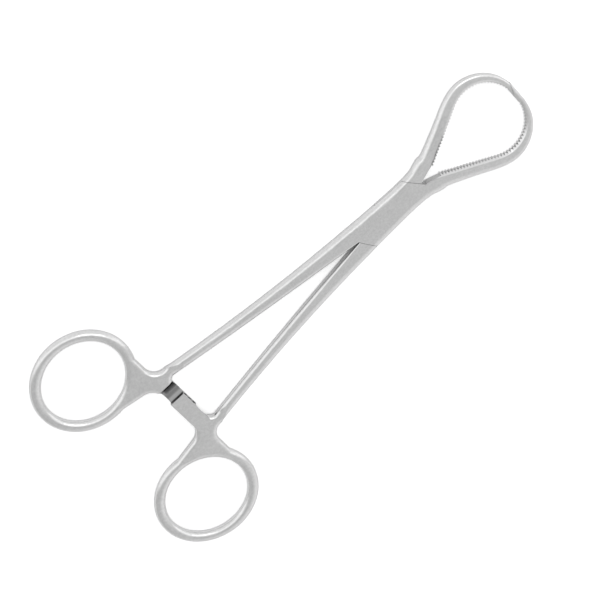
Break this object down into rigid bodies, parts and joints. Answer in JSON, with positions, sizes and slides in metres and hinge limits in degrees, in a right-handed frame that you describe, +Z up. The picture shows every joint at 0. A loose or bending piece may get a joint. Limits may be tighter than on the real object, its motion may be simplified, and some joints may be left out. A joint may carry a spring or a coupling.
{
  "type": "bone holding forceps",
  "caption": "Ring-handled bone holding forceps with a box lock, a ratchet between the handles and toothed jaws that close to a pear-shaped loop.",
  "frame": {"origin": "on the pivot's axis, at the flat underside of the box lock", "axes": "+X along the instrument from the pivot to the jaws, +Y to the finger ring of the box half, +Z up along the pivot's axis"},
  "size_m": [0.1911, 0.0942, 0.0047],
  "materials": {
    "satin_steel_box_half": "satin",
    "satin_steel_inner_half": "satin",
    "satin_steel_pin": "satin"
  },
  "bodies": {
    "box_side": {"box_half": "satin_steel_box_half", "pivot_pin": "satin_steel_pin"},
    "inner_side": {"inner_half": "satin_steel_inner_half"}
  },
  "joints": [
    {"name": "box_lock_pivot", "type": "hinge", "parent": "box_side", "child": "inner_side", "pos_m": [0, 0, 0.00235], "axis": [0, 0, 1], "range_deg": [0, 45]}
  ]
}
